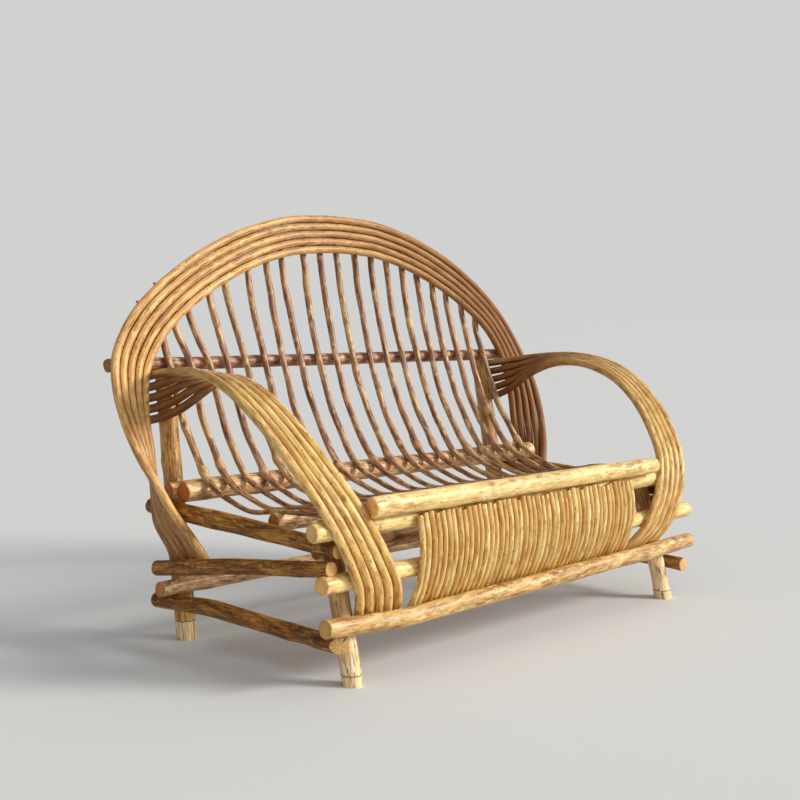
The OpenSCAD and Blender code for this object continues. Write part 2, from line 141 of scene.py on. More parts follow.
def cut_across(points, faces, axis, place):
    """Centre and radius of the outline where a plane across an axis cuts a log."""
    side = points[faces][:, :, axis] - place
    ends = []
    for a, b in ((0, 1), (1, 2), (2, 0)):
        crossed = side[:, a] * side[:, b] < 0
        share = side[crossed, a] / (side[crossed, a] - side[crossed, b])
        start = points[faces[crossed, a]]
        stop = points[faces[crossed, b]]
        ends.append((np.nonzero(crossed)[0], start + share[:, None] * (stop - start)))
    rows = np.concatenate([e[0] for e in ends])
    hits = np.concatenate([e[1] for e in ends])
    order = np.argsort(rows, kind="stable")
    pairs = hits[order].reshape(-1, 2, 3)
    length = np.linalg.norm(pairs[:, 0] - pairs[:, 1], axis=1)
    centre = (pairs.mean(1) * length[:, None]).sum(0) / length.sum()
    spans = np.delete(hits.max(0) - hits.min(0), axis)
    return centre, spans.min() / 2


def cuts_between(points, faces, axis, low, high):
    """Centres and radii of evenly spaced cuts between two places on an axis."""
    cuts = [cut_across(points, faces, axis, place) for place in np.linspace(low, high, CUTS)]
    return np.array([centre for centre, radius in cuts]), np.array([radius for centre, radius in cuts])


def with_ends(low_end, centres, high_end, radii):
    """A line with one more centre at each end, as thick as the one next to it."""
    return np.array([low_end, *centres, high_end]), np.array([radii[0], *radii, radii[-1]])


def run_out(near, further, axis, place):
    """Where the line from a further centre through a near one comes to a place on an axis."""
    share = (place - near[axis]) / (near[axis] - further[axis])
    return near + share * (near - further)


def log_line(node, axis, low_gap=END_GAP, low_reach=-END_INSET, high_reach=-END_INSET, trim=0.0):
    """Centres and radii along a log. The reaches say how far past its CAD ends it runs."""
    points, faces = cad_points(node)
    low = points[:, axis].min()
    high = points[:, axis].max() - trim
    centres, radii = cuts_between(points, faces, axis, low + low_gap, high - END_GAP)
    low_end = run_out(centres[0], centres[1], axis, low - low_reach)
    high_end = run_out(centres[-1], centres[-2], axis, high + high_reach)
    return with_ends(low_end, centres, high_end, radii)


# Shaping a branch

# Lengths along or across a branch, in metres
# The width reaches from a neighbouring rod into the groove, as far as painted shade goes
SHADED_GROOVE_WIDTH = 0.0050
NOTCH_ROOM = 0.0004
SAWN_RIM = 0.0012
FADE_LENGTH = 0.05
BOW_WAVE = 0.5
SWELL_WAVE = 0.45
RIDGE_WAVE = 0.5
KNOT_MARGIN = 0.02
KNOT_ROOM = 0.001
KNUCKLE_PLAY = (-0.02, 0.03)
GRAIN_SHIFT = 40
WELD_DISTANCE = 1e-6

# How many waves and ridges there are, how each next wave is lower and shorter, and their play
WANDER_WAVES = 4
WAVE_SHRINK = 0.7
WAVE_SHORTEN = 0.9
WAVE_PLAY = (0.8, 1.25)
RIDGE_SETS = 9
RIDGE_COUNTS = (2, 7)
RIDGE_PLAY = (0.35, 1.1)

# How far a point at a bend moves towards the middle of its neighbours, as a share
EASE_SHARE = 0.5

# Ends of a peg of unit radius and length, and how unevenly they are sawn
PEG_RINGS = (0.07, 0.25, 0.3)
PEG_END = 0.4999
RIM_SHARE = 0.97
END_TILT = 0.14
END_WAVE = 0.35

# Knots: shares of their usual number, height and half length, and of the radius for a knuckle
KNOT_FEWEST = 0.7
KNOT_RISES = (0.35, 1.0)
KNOT_LENGTHS = (0.7, 1.5)
KNOT_SHADES = (0.6, 1.0)
KNOT_COLLAR = 0.32
COLLAR_LENGTH = 1.7
SCAR_DEPTH = 0.45
SCAR_SIZE = 0.45
KNUCKLE_RISE = 0.48
KNUCKLE_COLLAR = 0.6


def smooth_line(points, values, step):
    """Evenly spaced points on a curve through the given ones, with the values carried along."""
    gaps = np.linalg.norm(np.diff(points, axis=0), axis=1)
    at = np.concatenate([[0], np.cumsum(gaps)])
    slope = np.gradient(points, at, axis=0)
    count = max(4, int(at[-1] / step)) + 1
    place = np.linspace(0, at[-1], count)
    before = np.clip(np.searchsorted(at, place, side="right") - 1, 0, len(gaps) - 1)
    span = gaps[before]
    part = (place - at[before]) / span
    near = 2 * part**3 - 3 * part**2 + 1
    leave = (part**3 - 2 * part**2 + part) * span
    far = 3 * part**2 - 2 * part**3
    arrive = (part**3 - part**2) * span
    curve = (near[:, None] * points[before] + leave[:, None] * slope[before]
             + far[:, None] * points[before + 1] + arrive[:, None] * slope[before + 1])
    length = np.concatenate([[0], np.cumsum(np.linalg.norm(np.diff(curve, axis=0), axis=1))])
    return curve, np.interp(place, at, values), length


def ease(points):
    """Takes the edge off sharp bends: each inner point moves towards its two neighbours."""
    eased = points.copy()
    eased[1:-1] += EASE_SHARE * ((points[:-2] + points[2:]) / 2 - points[1:-1])
    return eased


def side_frames(curve, up):
    """Tangent, side and up directions along a curve, carried along without twist."""
    tangent = np.gradient(curve, axis=0)
    tangent /= np.linalg.norm(tangent, axis=1)[:, None]
    side = np.cross(tangent[0], up)
    side /= np.linalg.norm(side)
    sides = []
    for forward in tangent:
        side = side - forward * side.dot(forward)
        side = side / np.linalg.norm(side)
        sides.append(side)
    sides = np.array(sides)
    return tangent, sides, np.cross(tangent, sides)


def look_up(place, length, values):
    """A curve's points or directions at any places along it."""
    return np.stack([np.interp(place, length, values[:, i]) for i in range(3)], 1)


def wander(place, rng, longest):
    """A smooth random line between about -1 and 1."""
    total = np.zeros_like(place)
    for n in range(WANDER_WAVES):
        size = 1 / (1 + WAVE_SHRINK * n)
        turn = rng.uniform(0, 2 * math.pi)
        pitch = longest / (1 + WAVE_SHORTEN * n) * rng.uniform(*WAVE_PLAY)
        total += size * np.sin(2 * math.pi * place / pitch + turn)
    return total / 2


def bark_relief(place, angle, rng):
    """Low ridges that run along the branch and drift slowly round it."""
    total = np.zeros_like(place)
    for n in range(RIDGE_SETS):
        ridges = rng.randint(*RIDGE_COUNTS)
        turn = rng.uniform(0, 2 * math.pi)
        drift = 2 * math.pi * place / (RIDGE_WAVE * rng.uniform(*RIDGE_PLAY))
        total += np.sin(ridges * angle + turn + drift) * math.cos(n) / 3
    return total


def peg(around, rings):
    """A straight round peg of unit radius and length, ready to be bent, and its points."""
    bm = bmesh.new()
    bmesh.ops.create_cone(bm, cap_ends=True, cap_tris=False, segments=around,
                          radius1=1, radius2=1, depth=1)
    ends = [f for f in bm.faces if len(f.verts) == around]
    for thickness in PEG_RINGS:
        bmesh.ops.inset_region(bm, faces=ends, thickness=thickness, use_even_offset=True)
    bmesh.ops.poke(bm, faces=ends)
    long_edges = [e for e in bm.edges if abs(e.verts[0].co.z - e.verts[1].co.z) > 0.5]
    bmesh.ops.subdivide_edges(bm, edges=long_edges, cuts=rings - 2, use_grid_fill=True)
    mesh = bpy.data.meshes.new("branch")
    bm.to_mesh(mesh)
    bm.free()
    points = np.empty(len(mesh.vertices) * 3)
    mesh.vertices.foreach_get("co", points)
    return mesh, points.reshape(-1, 3)


def groove_shade_mask(spots, neighbours):
    """How deep each spot lies in the groove between a rod and its neighbours, from 0 to 1, for the
    painted shade there.
    """
    gap = np.full(len(spots), SHADED_GROOVE_WIDTH)
    for curve, radius in neighbours:
        tree = KDTree(len(curve))
        for k, point in enumerate(curve):
            tree.insert(point, k)
        tree.balance()
        near = [tree.find(spot)[2] for spot in spots]
        gap = np.minimum(gap, np.array(near) - radius)
    return np.clip(1 - gap / SHADED_GROOVE_WIDTH, 0, 1)


def knot_places(grown, curve, length, knuckle, rng):
    """How far along a branch its knots sit. One at its bend, if it has a knuckle, comes last."""
    whole = length[-1]
    most = grown["knots"] * whole
    count = rng.randint(int(most * KNOT_FEWEST), int(most) + 1)
    furthest = max(KNOT_MARGIN + KNOT_ROOM, whole - KNOT_MARGIN)
    places = [rng.uniform(KNOT_MARGIN, furthest) for _ in range(count)]
    if knuckle is not None:
        bend = np.argmin(np.abs(curve[:, 2] - knuckle))
        places.append(length[bend] + rng.uniform(*KNUCKLE_PLAY))
    return places


def raise_knots(grown, knots, has_knuckle, place, angle, thick, rng):
    """How high the knots stand at each point of a branch, and how much of a knot shows there."""
    height = np.zeros(len(place))
    shown = np.zeros(len(place))
    for n, at in enumerate(knots):
        turn = rng.uniform(-math.pi, math.pi)
        rise = grown["knot_rise"] * rng.uniform(*KNOT_RISES)
        half = grown["knot_length"] * rng.uniform(*KNOT_LENGTHS)
        along = (place - at) / half
        apart = np.angle(np.exp(1j * (angle - turn))) * thick / half
        bump = np.exp(-along**2 - apart**2)
        collar = np.exp(-(along / COLLAR_LENGTH) ** 2)
        scar = np.exp(-((along / SCAR_SIZE) ** 2) - (apart / SCAR_SIZE) ** 2)
        spot = bump
        collar_share = KNOT_COLLAR
        if has_knuckle and n == len(knots) - 1:
            rise = KNUCKLE_RISE
            spot = collar
            collar_share = KNUCKLE_COLLAR
        height += rise * (bump + collar_share * collar - SCAR_DEPTH * scar)
        shown = np.maximum(shown, spot * rng.uniform(*KNOT_SHADES))
    return height, shown


def saw_ends(place, flat, share, angle, thick, bevel, seed, rng):
    """Moves the points of both ends along the branch: a worn rim and a tilted, uneven saw cut."""
    at_end = np.abs(flat[:, 2]) > PEG_END
    inward = np.sign(-flat[:, 2])
    place = place + inward * np.where(at_end & (share >= RIM_SHARE), bevel, 0)
    tilts = [rng.uniform(-END_TILT, END_TILT) for _ in range(2)]
    tilt = np.where(flat[:, 2] < 0, tilts[0], tilts[1])
    place = place + np.where(at_end, tilt * share * np.cos(angle) * thick, 0)
    return place + np.where(at_end, END_WAVE * bevel * np.sin(3 * angle + seed) * share, 0)


def write_attribute(mesh, name, values):
    """Stores a number or a vector at every point of a mesh, for the materials to read."""
    kind, field = ("FLOAT_VECTOR", "vector") if values.ndim == 2 else ("FLOAT", "value")
    made = mesh.attributes.new(name, kind, "POINT")
    made.data.foreach_set(field, values.astype(np.float32).ravel())


def grow(line, kind, seed, up, neighbours=(), knuckle=None, darken=None):
    """Bends a peg along a line and gives it the swellings, knots, ridges and cut ends of a branch."""
    grown = BRANCH_KINDS[kind]
    rng = random.Random(seed)
    points, radii = line
    curve, radius, length = smooth_line(points, radii * grown["size"], grown["step"])
    tangent, side, rise = side_frames(curve, np.array(up, float))
    whole = length[-1]
    fade = np.clip(np.minimum(length, whole - length) / FADE_LENGTH, 0, 1)
    curve = curve + side * (grown["sway"] * fade * wander(length, rng, grown["wave"]))[:, None]
    curve = curve + rise * (grown["bow"] * fade * wander(length, rng, BOW_WAVE))[:, None]
    radius = radius * (1 + grown["swell"] * wander(length, rng, SWELL_WAVE))

    mesh, flat = peg(grown["around"], len(curve))
    share = np.hypot(flat[:, 0], flat[:, 1])
    angle = np.arctan2(flat[:, 1], flat[:, 0])
    place = (flat[:, 2] + 0.5) * whole
    thick = np.interp(place, length, radius)
    relief = 1 + grown["ridge"] * bark_relief(place, angle, rng)
    knots = knot_places(grown, curve, length, knuckle, rng)
    bumps, knot = raise_knots(grown, knots, knuckle is not None, place, angle, thick, rng)
    place = saw_ends(place, flat, share, angle, thick, grown["bevel"], seed, rng)

    centre = look_up(place, length, curve)
    beyond = place - np.clip(place, 0, whole)
    ahead = np.where((place < whole / 2)[:, None], tangent[0], tangent[-1])
    centre += ahead * beyond[:, None]
    across = look_up(place, length, side)
    over = look_up(place, length, rise)
    outward = across * np.cos(angle)[:, None] + over * np.sin(angle)[:, None]
    reach = thick * (relief + bumps) * share
    spot = centre + outward * reach[:, None]
    mesh.vertices.foreach_set("co", spot.ravel())
    mesh.update()

    shift = rng.uniform(0, GRAIN_SHIFT)
    grain = np.stack([reach * np.cos(angle), reach * np.sin(angle), place + shift], 1)
    sawn = (np.abs(flat[:, 2]) > PEG_END) & (share < RIM_SHARE)
    write_attribute(mesh, "branch", grain)
    write_attribute(mesh, "tone", np.full(len(flat), rng.random()))
    write_attribute(mesh, "knot", knot)
    write_attribute(mesh, "cut", sawn)
    write_attribute(mesh, "pith", share)
    write_attribute(mesh, "height", spot[:, 2])
    # Painted shade (partly stain on the arch), and painted shade in the grooves next to neighbouring
    # rods, stored for the materials
    write_attribute(mesh, "painted_shade_and_stain", darken(spot, outward) if darken else np.zeros(len(flat)))
    write_attribute(mesh, "painted_groove_shade", groove_shade_mask(spot, neighbours))
    mesh.shade_smooth()
    return mesh


def close_up(bm, mesh):
    """Merges doubles, turns every face outwards and hands the mesh back."""
    bmesh.ops.remove_doubles(bm, verts=bm.verts, dist=WELD_DISTANCE)
    bmesh.ops.recalc_face_normals(bm, faces=bm.faces)
    bm.to_mesh(mesh)
    bm.free()
    return mesh


def join_meshes(meshes, name):
    """One mesh of several branches that share a CAD node."""
    bm = bmesh.new()
    for mesh in meshes:
        bm.from_mesh(mesh)
        bpy.data.meshes.remove(mesh)
    return close_up(bm, bpy.data.meshes.new(name))


def saw(mesh, place, facing):
    """Saws off what lies beyond a plane and closes the cut with sawn wood."""
    bm = bmesh.new()
    bm.from_mesh(mesh)
    everything = bm.verts[:] + bm.edges[:] + bm.faces[:]
    bmesh.ops.bisect_plane(bm, geom=everything, plane_co=place, plane_no=facing, clear_outer=True)
    rim = [e for e in bm.edges if e.is_boundary]
    for edge in rim:
        edge.smooth = False
    cut = bmesh.ops.holes_fill(bm, edges=rim, sides=0)["faces"]
    bmesh.ops.inset_region(bm, faces=cut, thickness=SAWN_RIM)
    middles = bmesh.ops.poke(bm, faces=cut)["verts"]
    sawn = bm.verts.layers.float["cut"]
    grain = bm.verts.layers.float_vector["branch"]
    normal = Vector(facing).normalized()
    across = normal.orthogonal().normalized()
    over = normal.cross(across)
    along = rim[0].verts[0][grain].z
    for middle in middles:
        for vertex in {v for f in middle.link_faces for v in f.verts}:
            offset = vertex.co - middle.co
            vertex[grain] = (offset.dot(across), offset.dot(over), along)
            vertex[sawn] = 1.0
    close_up(bm, mesh)


def notch(mesh, line):
    """Presses a log out of the round rail that it is notched over."""
    centres, radii = line
    start = Vector(centres[1])
    along = (Vector(centres[-2]) - start).normalized()
    reach = float(np.mean(radii)) + NOTCH_ROOM
    for vertex in mesh.vertices:
        middle = start + along * (vertex.co - start).dot(along)
        out = vertex.co - middle
        if out.length < reach:
            vertex.co = middle + out.normalized() * reach


# Node helpers

def colour(red, green, blue):
    """A colour written as on a paint card, 0 to 255, as Blender's linear values."""
    linear = [((c / 255 + 0.055) / 1.055) ** 2.4 if c > 10 else c / 255 / 12.92
              for c in (red, green, blue)]
    return (*linear, 1.0)


def put(tree, kind, settings=(), **sockets):
    """Adds a shader node, sets it up and links or fills its inputs."""
    made = tree.nodes.new("ShaderNode" + kind)
    for name, value in dict(settings).items():
        setattr(made, name, value)
    for name, value in sockets.items():
        key = int(name[1:]) if name[0] == "i" and name[1:].isdigit() else name.replace("_", " ")
        if isinstance(value, bpy.types.NodeSocket):
            tree.links.new(value, made.inputs[key])
        else:
            made.inputs[key].default_value = value
    return made


def maths(tree, operation, first, second=0.0):
    made = put(tree, "Math", {"operation": operation}, i0=first, i1=second)
    return made.outputs[0]


def weighted_sum(tree, *parts):
    """Adds up some values, each multiplied by its share."""
    scaled = [maths(tree, "MULTIPLY", value, share) for value, share in parts]
    total = scaled[0]
    for part in scaled[1:]:
        total = maths(tree, "ADD", total, part)
    return total


def off_by(tree, value, place):
    """How far a value is from a place, on either side."""
    return maths(tree, "ABSOLUTE", maths(tree, "SUBTRACT", value, place))


def blend_colours(tree, share, first, second, mode="MIX"):
    settings = {"data_type": "RGBA", "blend_type": mode}
    return put(tree, "Mix", settings, i0=share, i6=first, i7=second).outputs[2]


def paint(tree, base, tint, mask, strength):
    """Lays a tint over a colour where a mask shows it, at most as strongly as given."""
    return blend_colours(tree, maths(tree, "MULTIPLY", mask, strength), base, tint)


def spread(tree, value, low, high, to_low=0.0, to_high=1.0):
    """Stretches a value from one range to another, held at its ends."""
    made = put(tree, "MapRange", {"interpolation_type": "SMOOTHSTEP"}, Value=value,
               From_Min=low, From_Max=high, To_Min=to_low, To_Max=to_high)
    return made.outputs[0]


def attribute(tree, name, output="Fac"):
    return put(tree, "Attribute", {"attribute_name": name}).outputs[output]


def new_group(name, inputs, outputs):
    """An empty node group. Each of its outputs is a single value."""
    tree = bpy.data.node_groups.new(name, "ShaderNodeTree")
    for label, kind in inputs:
        tree.interface.new_socket(label, in_out="INPUT", socket_type="NodeSocket" + kind)
    for label in outputs:
        tree.interface.new_socket(label, in_out="OUTPUT", socket_type="NodeSocketFloat")
    return tree, tree.nodes.new("NodeGroupInput").outputs, tree.nodes.new("NodeGroupOutput").inputs


# Patterns of the bark and of sawn ends

# A noise is given as spots per metre across and along the branch, its detail and its roughness.
# An edge is the range of values over which a pattern fades in or out.
NOISE_ROUGHNESS = 0.55
FIBRES = {"Fine": (620, 42, 4), "Coarse": (190, 26, 3), "Slow": (30, 7, 2), "Split": (75, 7, 2)}
PATCH_NOISE = (80, 26, 4, 0.6)
PATCH_EDGE = (-0.04, 0.07)
STAIN_NOISE = (46, 13, 4, 0.62)
STAIN_EDGE = (0.52, 0.66)
FLECK_CELLS = (125.0, 125.0, 62.0)
FLECK_EDGE = (0.12, 0.26)
GATHER_NOISE = (34, 17, 2)
GATHER_EDGE = (0.46, 0.60)
RING_RATE = 1500.0
RING_WOBBLE = 7.0
WOBBLE_NOISE = dict(Scale=160.0, Detail=3.0)
SPOKE_RATE = 2.2
SPOKE_NOISE = dict(Scale=3.0, Detail=2.0)
CRACK_EDGE = (0.004, 0.03)


def stretched_noise(tree, vector, across, along, detail, roughness=NOISE_ROUGHNESS):
    """Noise whose spots are longer along the branch than across it."""
    scaled = put(tree, "VectorMath", {"operation": "MULTIPLY"}, i0=vector, i1=(across, across, along))
    return put(tree, "TexNoise", Vector=scaled.outputs[0], Scale=1.0, Detail=detail,
               Roughness=roughness).outputs["Fac"]


def make_grain_group():
    """Lengthwise fibres of the bark, fine and coarse."""
    tree, given, result = new_group("bark_fibres", [("Branch", "Vector")], list(FIBRES))
    for name, noise in FIBRES.items():
        tree.links.new(stretched_noise(tree, given["Branch"], *noise), result[name])
    return tree


def make_patch_group():
    """Pale patches, darker stains and small dark flecks of the bark."""
    tree, given, result = new_group("bark_patches", [("Branch", "Vector"), ("Cover", "Float")],
                                    ["Patch", "Stain", "Fleck"])
    bare = maths(tree, "SUBTRACT", 1.0, given["Cover"])
    cloud = stretched_noise(tree, given["Branch"], *PATCH_NOISE)
    tree.links.new(spread(tree, maths(tree, "SUBTRACT", cloud, bare), *PATCH_EDGE), result["Patch"])
    blotch = stretched_noise(tree, given["Branch"], *STAIN_NOISE)
    tree.links.new(spread(tree, blotch, *STAIN_EDGE), result["Stain"])
    scaled = put(tree, "VectorMath", {"operation": "MULTIPLY"}, i0=given["Branch"], i1=FLECK_CELLS)
    cells = put(tree, "TexVoronoi", Vector=scaled.outputs[0], Scale=1.0, Randomness=1.0)
    dots = spread(tree, cells.outputs["Distance"], *FLECK_EDGE, 1.0, 0.0)
    gathered = spread(tree, stretched_noise(tree, given["Branch"], *GATHER_NOISE), *GATHER_EDGE)
    tree.links.new(maths(tree, "MULTIPLY", dots, gathered), result["Fleck"])
    return tree


def make_end_group():
    """Growth rings and drying cracks of a sawn end."""
    tree, given, result = new_group("end_grain", [("Branch", "Vector"), ("Pith", "Float")],
                                    ["Rings", "Crack"])
    x, y, along = put(tree, "SeparateXYZ", Vector=given["Branch"]).outputs
    wobble = put(tree, "TexNoise", Vector=given["Branch"], **WOBBLE_NOISE).outputs["Fac"]
    squares = [maths(tree, "POWER", part, 2.0) for part in (x, y)]
    radius = maths(tree, "SQRT", maths(tree, "ADD", *squares))
    phase = weighted_sum(tree, (radius, RING_RATE), (wobble, RING_WOBBLE))
    rings = maths(tree, "ADD", maths(tree, "MULTIPLY", maths(tree, "SINE", phase), 0.5), 0.5)
    turn = maths(tree, "MULTIPLY", maths(tree, "ARCTAN2", x, y), SPOKE_RATE)
    spokes = put(tree, "TexNoise", {"noise_dimensions": "1D"}, W=maths(tree, "ADD", turn, along),
                 **SPOKE_NOISE).outputs["Fac"]
    crack = spread(tree, off_by(tree, spokes, 0.5), *CRACK_EDGE, 1.0, 0.0)
    tree.links.new(rings, result["Rings"])
    tree.links.new(maths(tree, "MULTIPLY", crack, given["Pith"]), result["Crack"])
    return tree


GROUPS = {"fibres": make_grain_group(), "patches": make_patch_group(), "ends": make_end_group()}


def use_group(tree, key, **sockets):
    """Places a node group in a material, fills its inputs and hands back its outputs."""
    made = tree.nodes.new("ShaderNodeGroup")
    made.node_tree = GROUPS[key]
    for name, value in sockets.items():
        if isinstance(value, bpy.types.NodeSocket):
            tree.links.new(value, made.inputs[name])
        else:
            made.inputs[name].default_value = value
    return made.outputs


# Materials

# A share says how strongly a colour lies over the ones before it, from 0 to 1.
SHADE_SHARES = {"Fine": 0.25, "Coarse": 0.45, "Slow": 0.30}
SHADE_EDGE = (0.38, 0.62)
PATCH_SHARE = 0.8
KNOT_EDGE = (0.3, 0.9)
KNOT_SHARE = 0.7
SAWN_STAIN = colour(170, 104, 48)
SAWN_STAIN_EDGE = (0.35, 0.65)
SAWN_STAIN_SHARE = 0.25
CRACK_COLOUR = colour(72, 40, 18)
# Painted shade, partly stain on the arch: its colour, strength, and extra roughness where it lies
SHADE_AND_STAIN_COLOUR = colour(108, 50, 14)
SHADE_AND_STAIN_SHARE = 0.95
SHADE_AND_STAIN_ROUGHNESS = 0.25
# Painted shade in the grooves between touching rods and sticks
GROOVE_SHADE_COLOUR = colour(46, 22, 8)
GROOVE_SHADE_EDGE = (0.18, 0.92)
GROOVE_SHADE_SHARE = 0.92
STRIPPED_PAIR = (colour(226, 184, 124), colour(255, 234, 184))
STRIPPED_EDGE = (0.3, 0.7)
STRIPPED_WOBBLE = 0.010
STRIPPED_FADE = 0.012
SPLIT_COLOUR = colour(92, 52, 26)
SPLIT_EDGE = (0.006, 0.022)
SPLIT_HEIGHTS = (0.10, 0.16)
SPLIT_SHARES = (0.8, 0.15)
RING_COLOUR = colour(84, 48, 24)
RING_LIFT = 0.005
RING_EDGE = (0.0006, 0.0022)
RING_SHARE = 0.8
BUMP_DEPTH = 0.0014
FINE_BUMP = 0.4
COARSE_BUMP = 0.7
PATCH_BUMP = 0.18
FLECK_BUMP = -0.25
SAWN_RELIEF = 0.15
GLOSS_EDGE = (0.3, 0.7)
GLOSS_RANGE = (-0.08, 0.10)
COAT_ROUGHNESS = 0.3
WOOD_IOR = 1.45
PLAIN_LOOK = dict(sawn_dark=colour(176, 116, 60), sawn_light=colour(214, 160, 98),
                  bare_to=None, ring_at=None)


def bark_colour(tree, look, fibres, patches):
    """Bark with patches, stains, flecks and knots, in a tone of its own for each branch."""
    mixed = weighted_sum(tree, *((fibres[name], share) for name, share in SHADE_SHARES.items()))
    shade = spread(tree, mixed, *SHADE_EDGE)
    lower = blend_colours(tree, spread(tree, shade, 0.0, 0.5), look["dark"], look["middle"])
    bark = blend_colours(tree, spread(tree, shade, 0.5, 1.0), lower, look["light"])
    bark = paint(tree, bark, look["patch"], patches["Patch"], PATCH_SHARE)
    bark = paint(tree, bark, look["stain"], patches["Stain"], look["stained"])
    hue = blend_colours(tree, attribute(tree, "tone"), look["warm"], look["pale"])
    bark = blend_colours(tree, look["tone_spread"], bark, hue, "MULTIPLY")
    bark = paint(tree, bark, look["fleck"], patches["Fleck"], look["flecked"])
    knots = spread(tree, attribute(tree, "knot"), *KNOT_EDGE)
    return paint(tree, bark, look["knot_tint"], knots, KNOT_SHARE)


def bare_foot(tree, look, bark, fibres):
    """Stripped, cracked wood at the foot of a leg, with a dark ring round it."""
    height = attribute(tree, "height")
    wavy = maths(tree, "ADD", height, maths(tree, "MULTIPLY", fibres["Coarse"], STRIPPED_WOBBLE))
    bare = spread(tree, wavy, look["bare_to"], look["bare_to"] + STRIPPED_FADE, 1.0, 0.0)
    stripped = blend_colours(tree, spread(tree, fibres["Coarse"], *STRIPPED_EDGE), *STRIPPED_PAIR)
    bark = blend_colours(tree, bare, bark, stripped)
    split = spread(tree, off_by(tree, fibres["Split"], 0.5), *SPLIT_EDGE, 1.0, 0.0)
    low_down = spread(tree, height, *SPLIT_HEIGHTS, *SPLIT_SHARES)
    bark = paint(tree, bark, SPLIT_COLOUR, split, low_down)
    ring = spread(tree, off_by(tree, wavy, look["ring_at"] + RING_LIFT), *RING_EDGE, RING_SHARE, 0.0)
    return blend_colours(tree, ring, bark, RING_COLOUR)


def sawn_colour(tree, look, fibres, ends):
    """Growth rings, slow stains and cracks of a sawn end."""
    sawn = blend_colours(tree, ends["Rings"], look["sawn_dark"], look["sawn_light"])
    stains = spread(tree, fibres["Slow"], *SAWN_STAIN_EDGE)
    sawn = paint(tree, sawn, SAWN_STAIN, stains, SAWN_STAIN_SHARE)
    return blend_colours(tree, ends["Crack"], sawn, CRACK_COLOUR)


def bark_bump(tree, look, fibres, patches, cut):
    """Fine relief of the bark, much lower on sawn ends."""
    height = weighted_sum(tree, (fibres["Fine"], FINE_BUMP), (fibres["Coarse"], COARSE_BUMP),
                          (patches["Patch"], PATCH_BUMP), (patches["Fleck"], FLECK_BUMP))
    strength = maths(tree, "MULTIPLY", spread(tree, cut, 0.0, 1.0, 1.0, SAWN_RELIEF), look["relief"])
    return put(tree, "Bump", Strength=strength, Distance=BUMP_DEPTH, Height=height).outputs[0]


def branch_material(name, **given):
    """Bark or peeled wood under a thin varnish, with cut ends, painted shade in the grooves, and
    painted shade (partly stain on the arch) in darker zones.
    """
    look = {**PLAIN_LOOK, **given}
    made = bpy.data.materials.new(name)
    made.use_nodes = True
    tree = made.node_tree
    tree.nodes.clear()
    branch = attribute(tree, "branch", "Vector")
    cut = attribute(tree, "cut")
    painted_shade_and_stain = attribute(tree, "painted_shade_and_stain")
    fibres = use_group(tree, "fibres", Branch=branch)
    patches = use_group(tree, "patches", Branch=branch, Cover=look["cover"])
    ends = use_group(tree, "ends", Branch=branch, Pith=attribute(tree, "pith"))

    bark = bark_colour(tree, look, fibres, patches)
    if look["bare_to"]:
        bark = bare_foot(tree, look, bark, fibres)
    # Painted shade, partly stain on the arch, darkens the bark where its mask shows
    bark = paint(tree, bark, SHADE_AND_STAIN_COLOUR, painted_shade_and_stain, SHADE_AND_STAIN_SHARE)
    skin = blend_colours(tree, cut, bark, sawn_colour(tree, look, fibres, ends))
    # Painted shade in the grooves between rods
    painted_groove_shade = spread(tree, attribute(tree, "painted_groove_shade"), *GROOVE_SHADE_EDGE)
    skin = paint(tree, skin, GROOVE_SHADE_COLOUR, painted_groove_shade, GROOVE_SHADE_SHARE)

    roughnesses = [look["roughness"] + change for change in GLOSS_RANGE]
    gloss = spread(tree, fibres["Coarse"], *GLOSS_EDGE, *roughnesses)
    # Where shade is painted, the varnish is rougher and thinner
    gloss = maths(tree, "ADD", gloss, maths(tree, "MULTIPLY", painted_shade_and_stain, SHADE_AND_STAIN_ROUGHNESS))
    coat = maths(tree, "MULTIPLY", maths(tree, "SUBTRACT", 1.0, painted_shade_and_stain), look["varnish"])
    bump = bark_bump(tree, look, fibres, patches, cut)
    shader = put(tree, "BsdfPrincipled", Base_Color=skin, Roughness=gloss, Normal=bump,
                 Coat_Weight=coat, Coat_Roughness=COAT_ROUGHNESS, IOR=WOOD_IOR)
    output = tree.nodes.new("ShaderNodeOutputMaterial")
    tree.links.new(shader.outputs[0], output.inputs["Surface"])
    return made


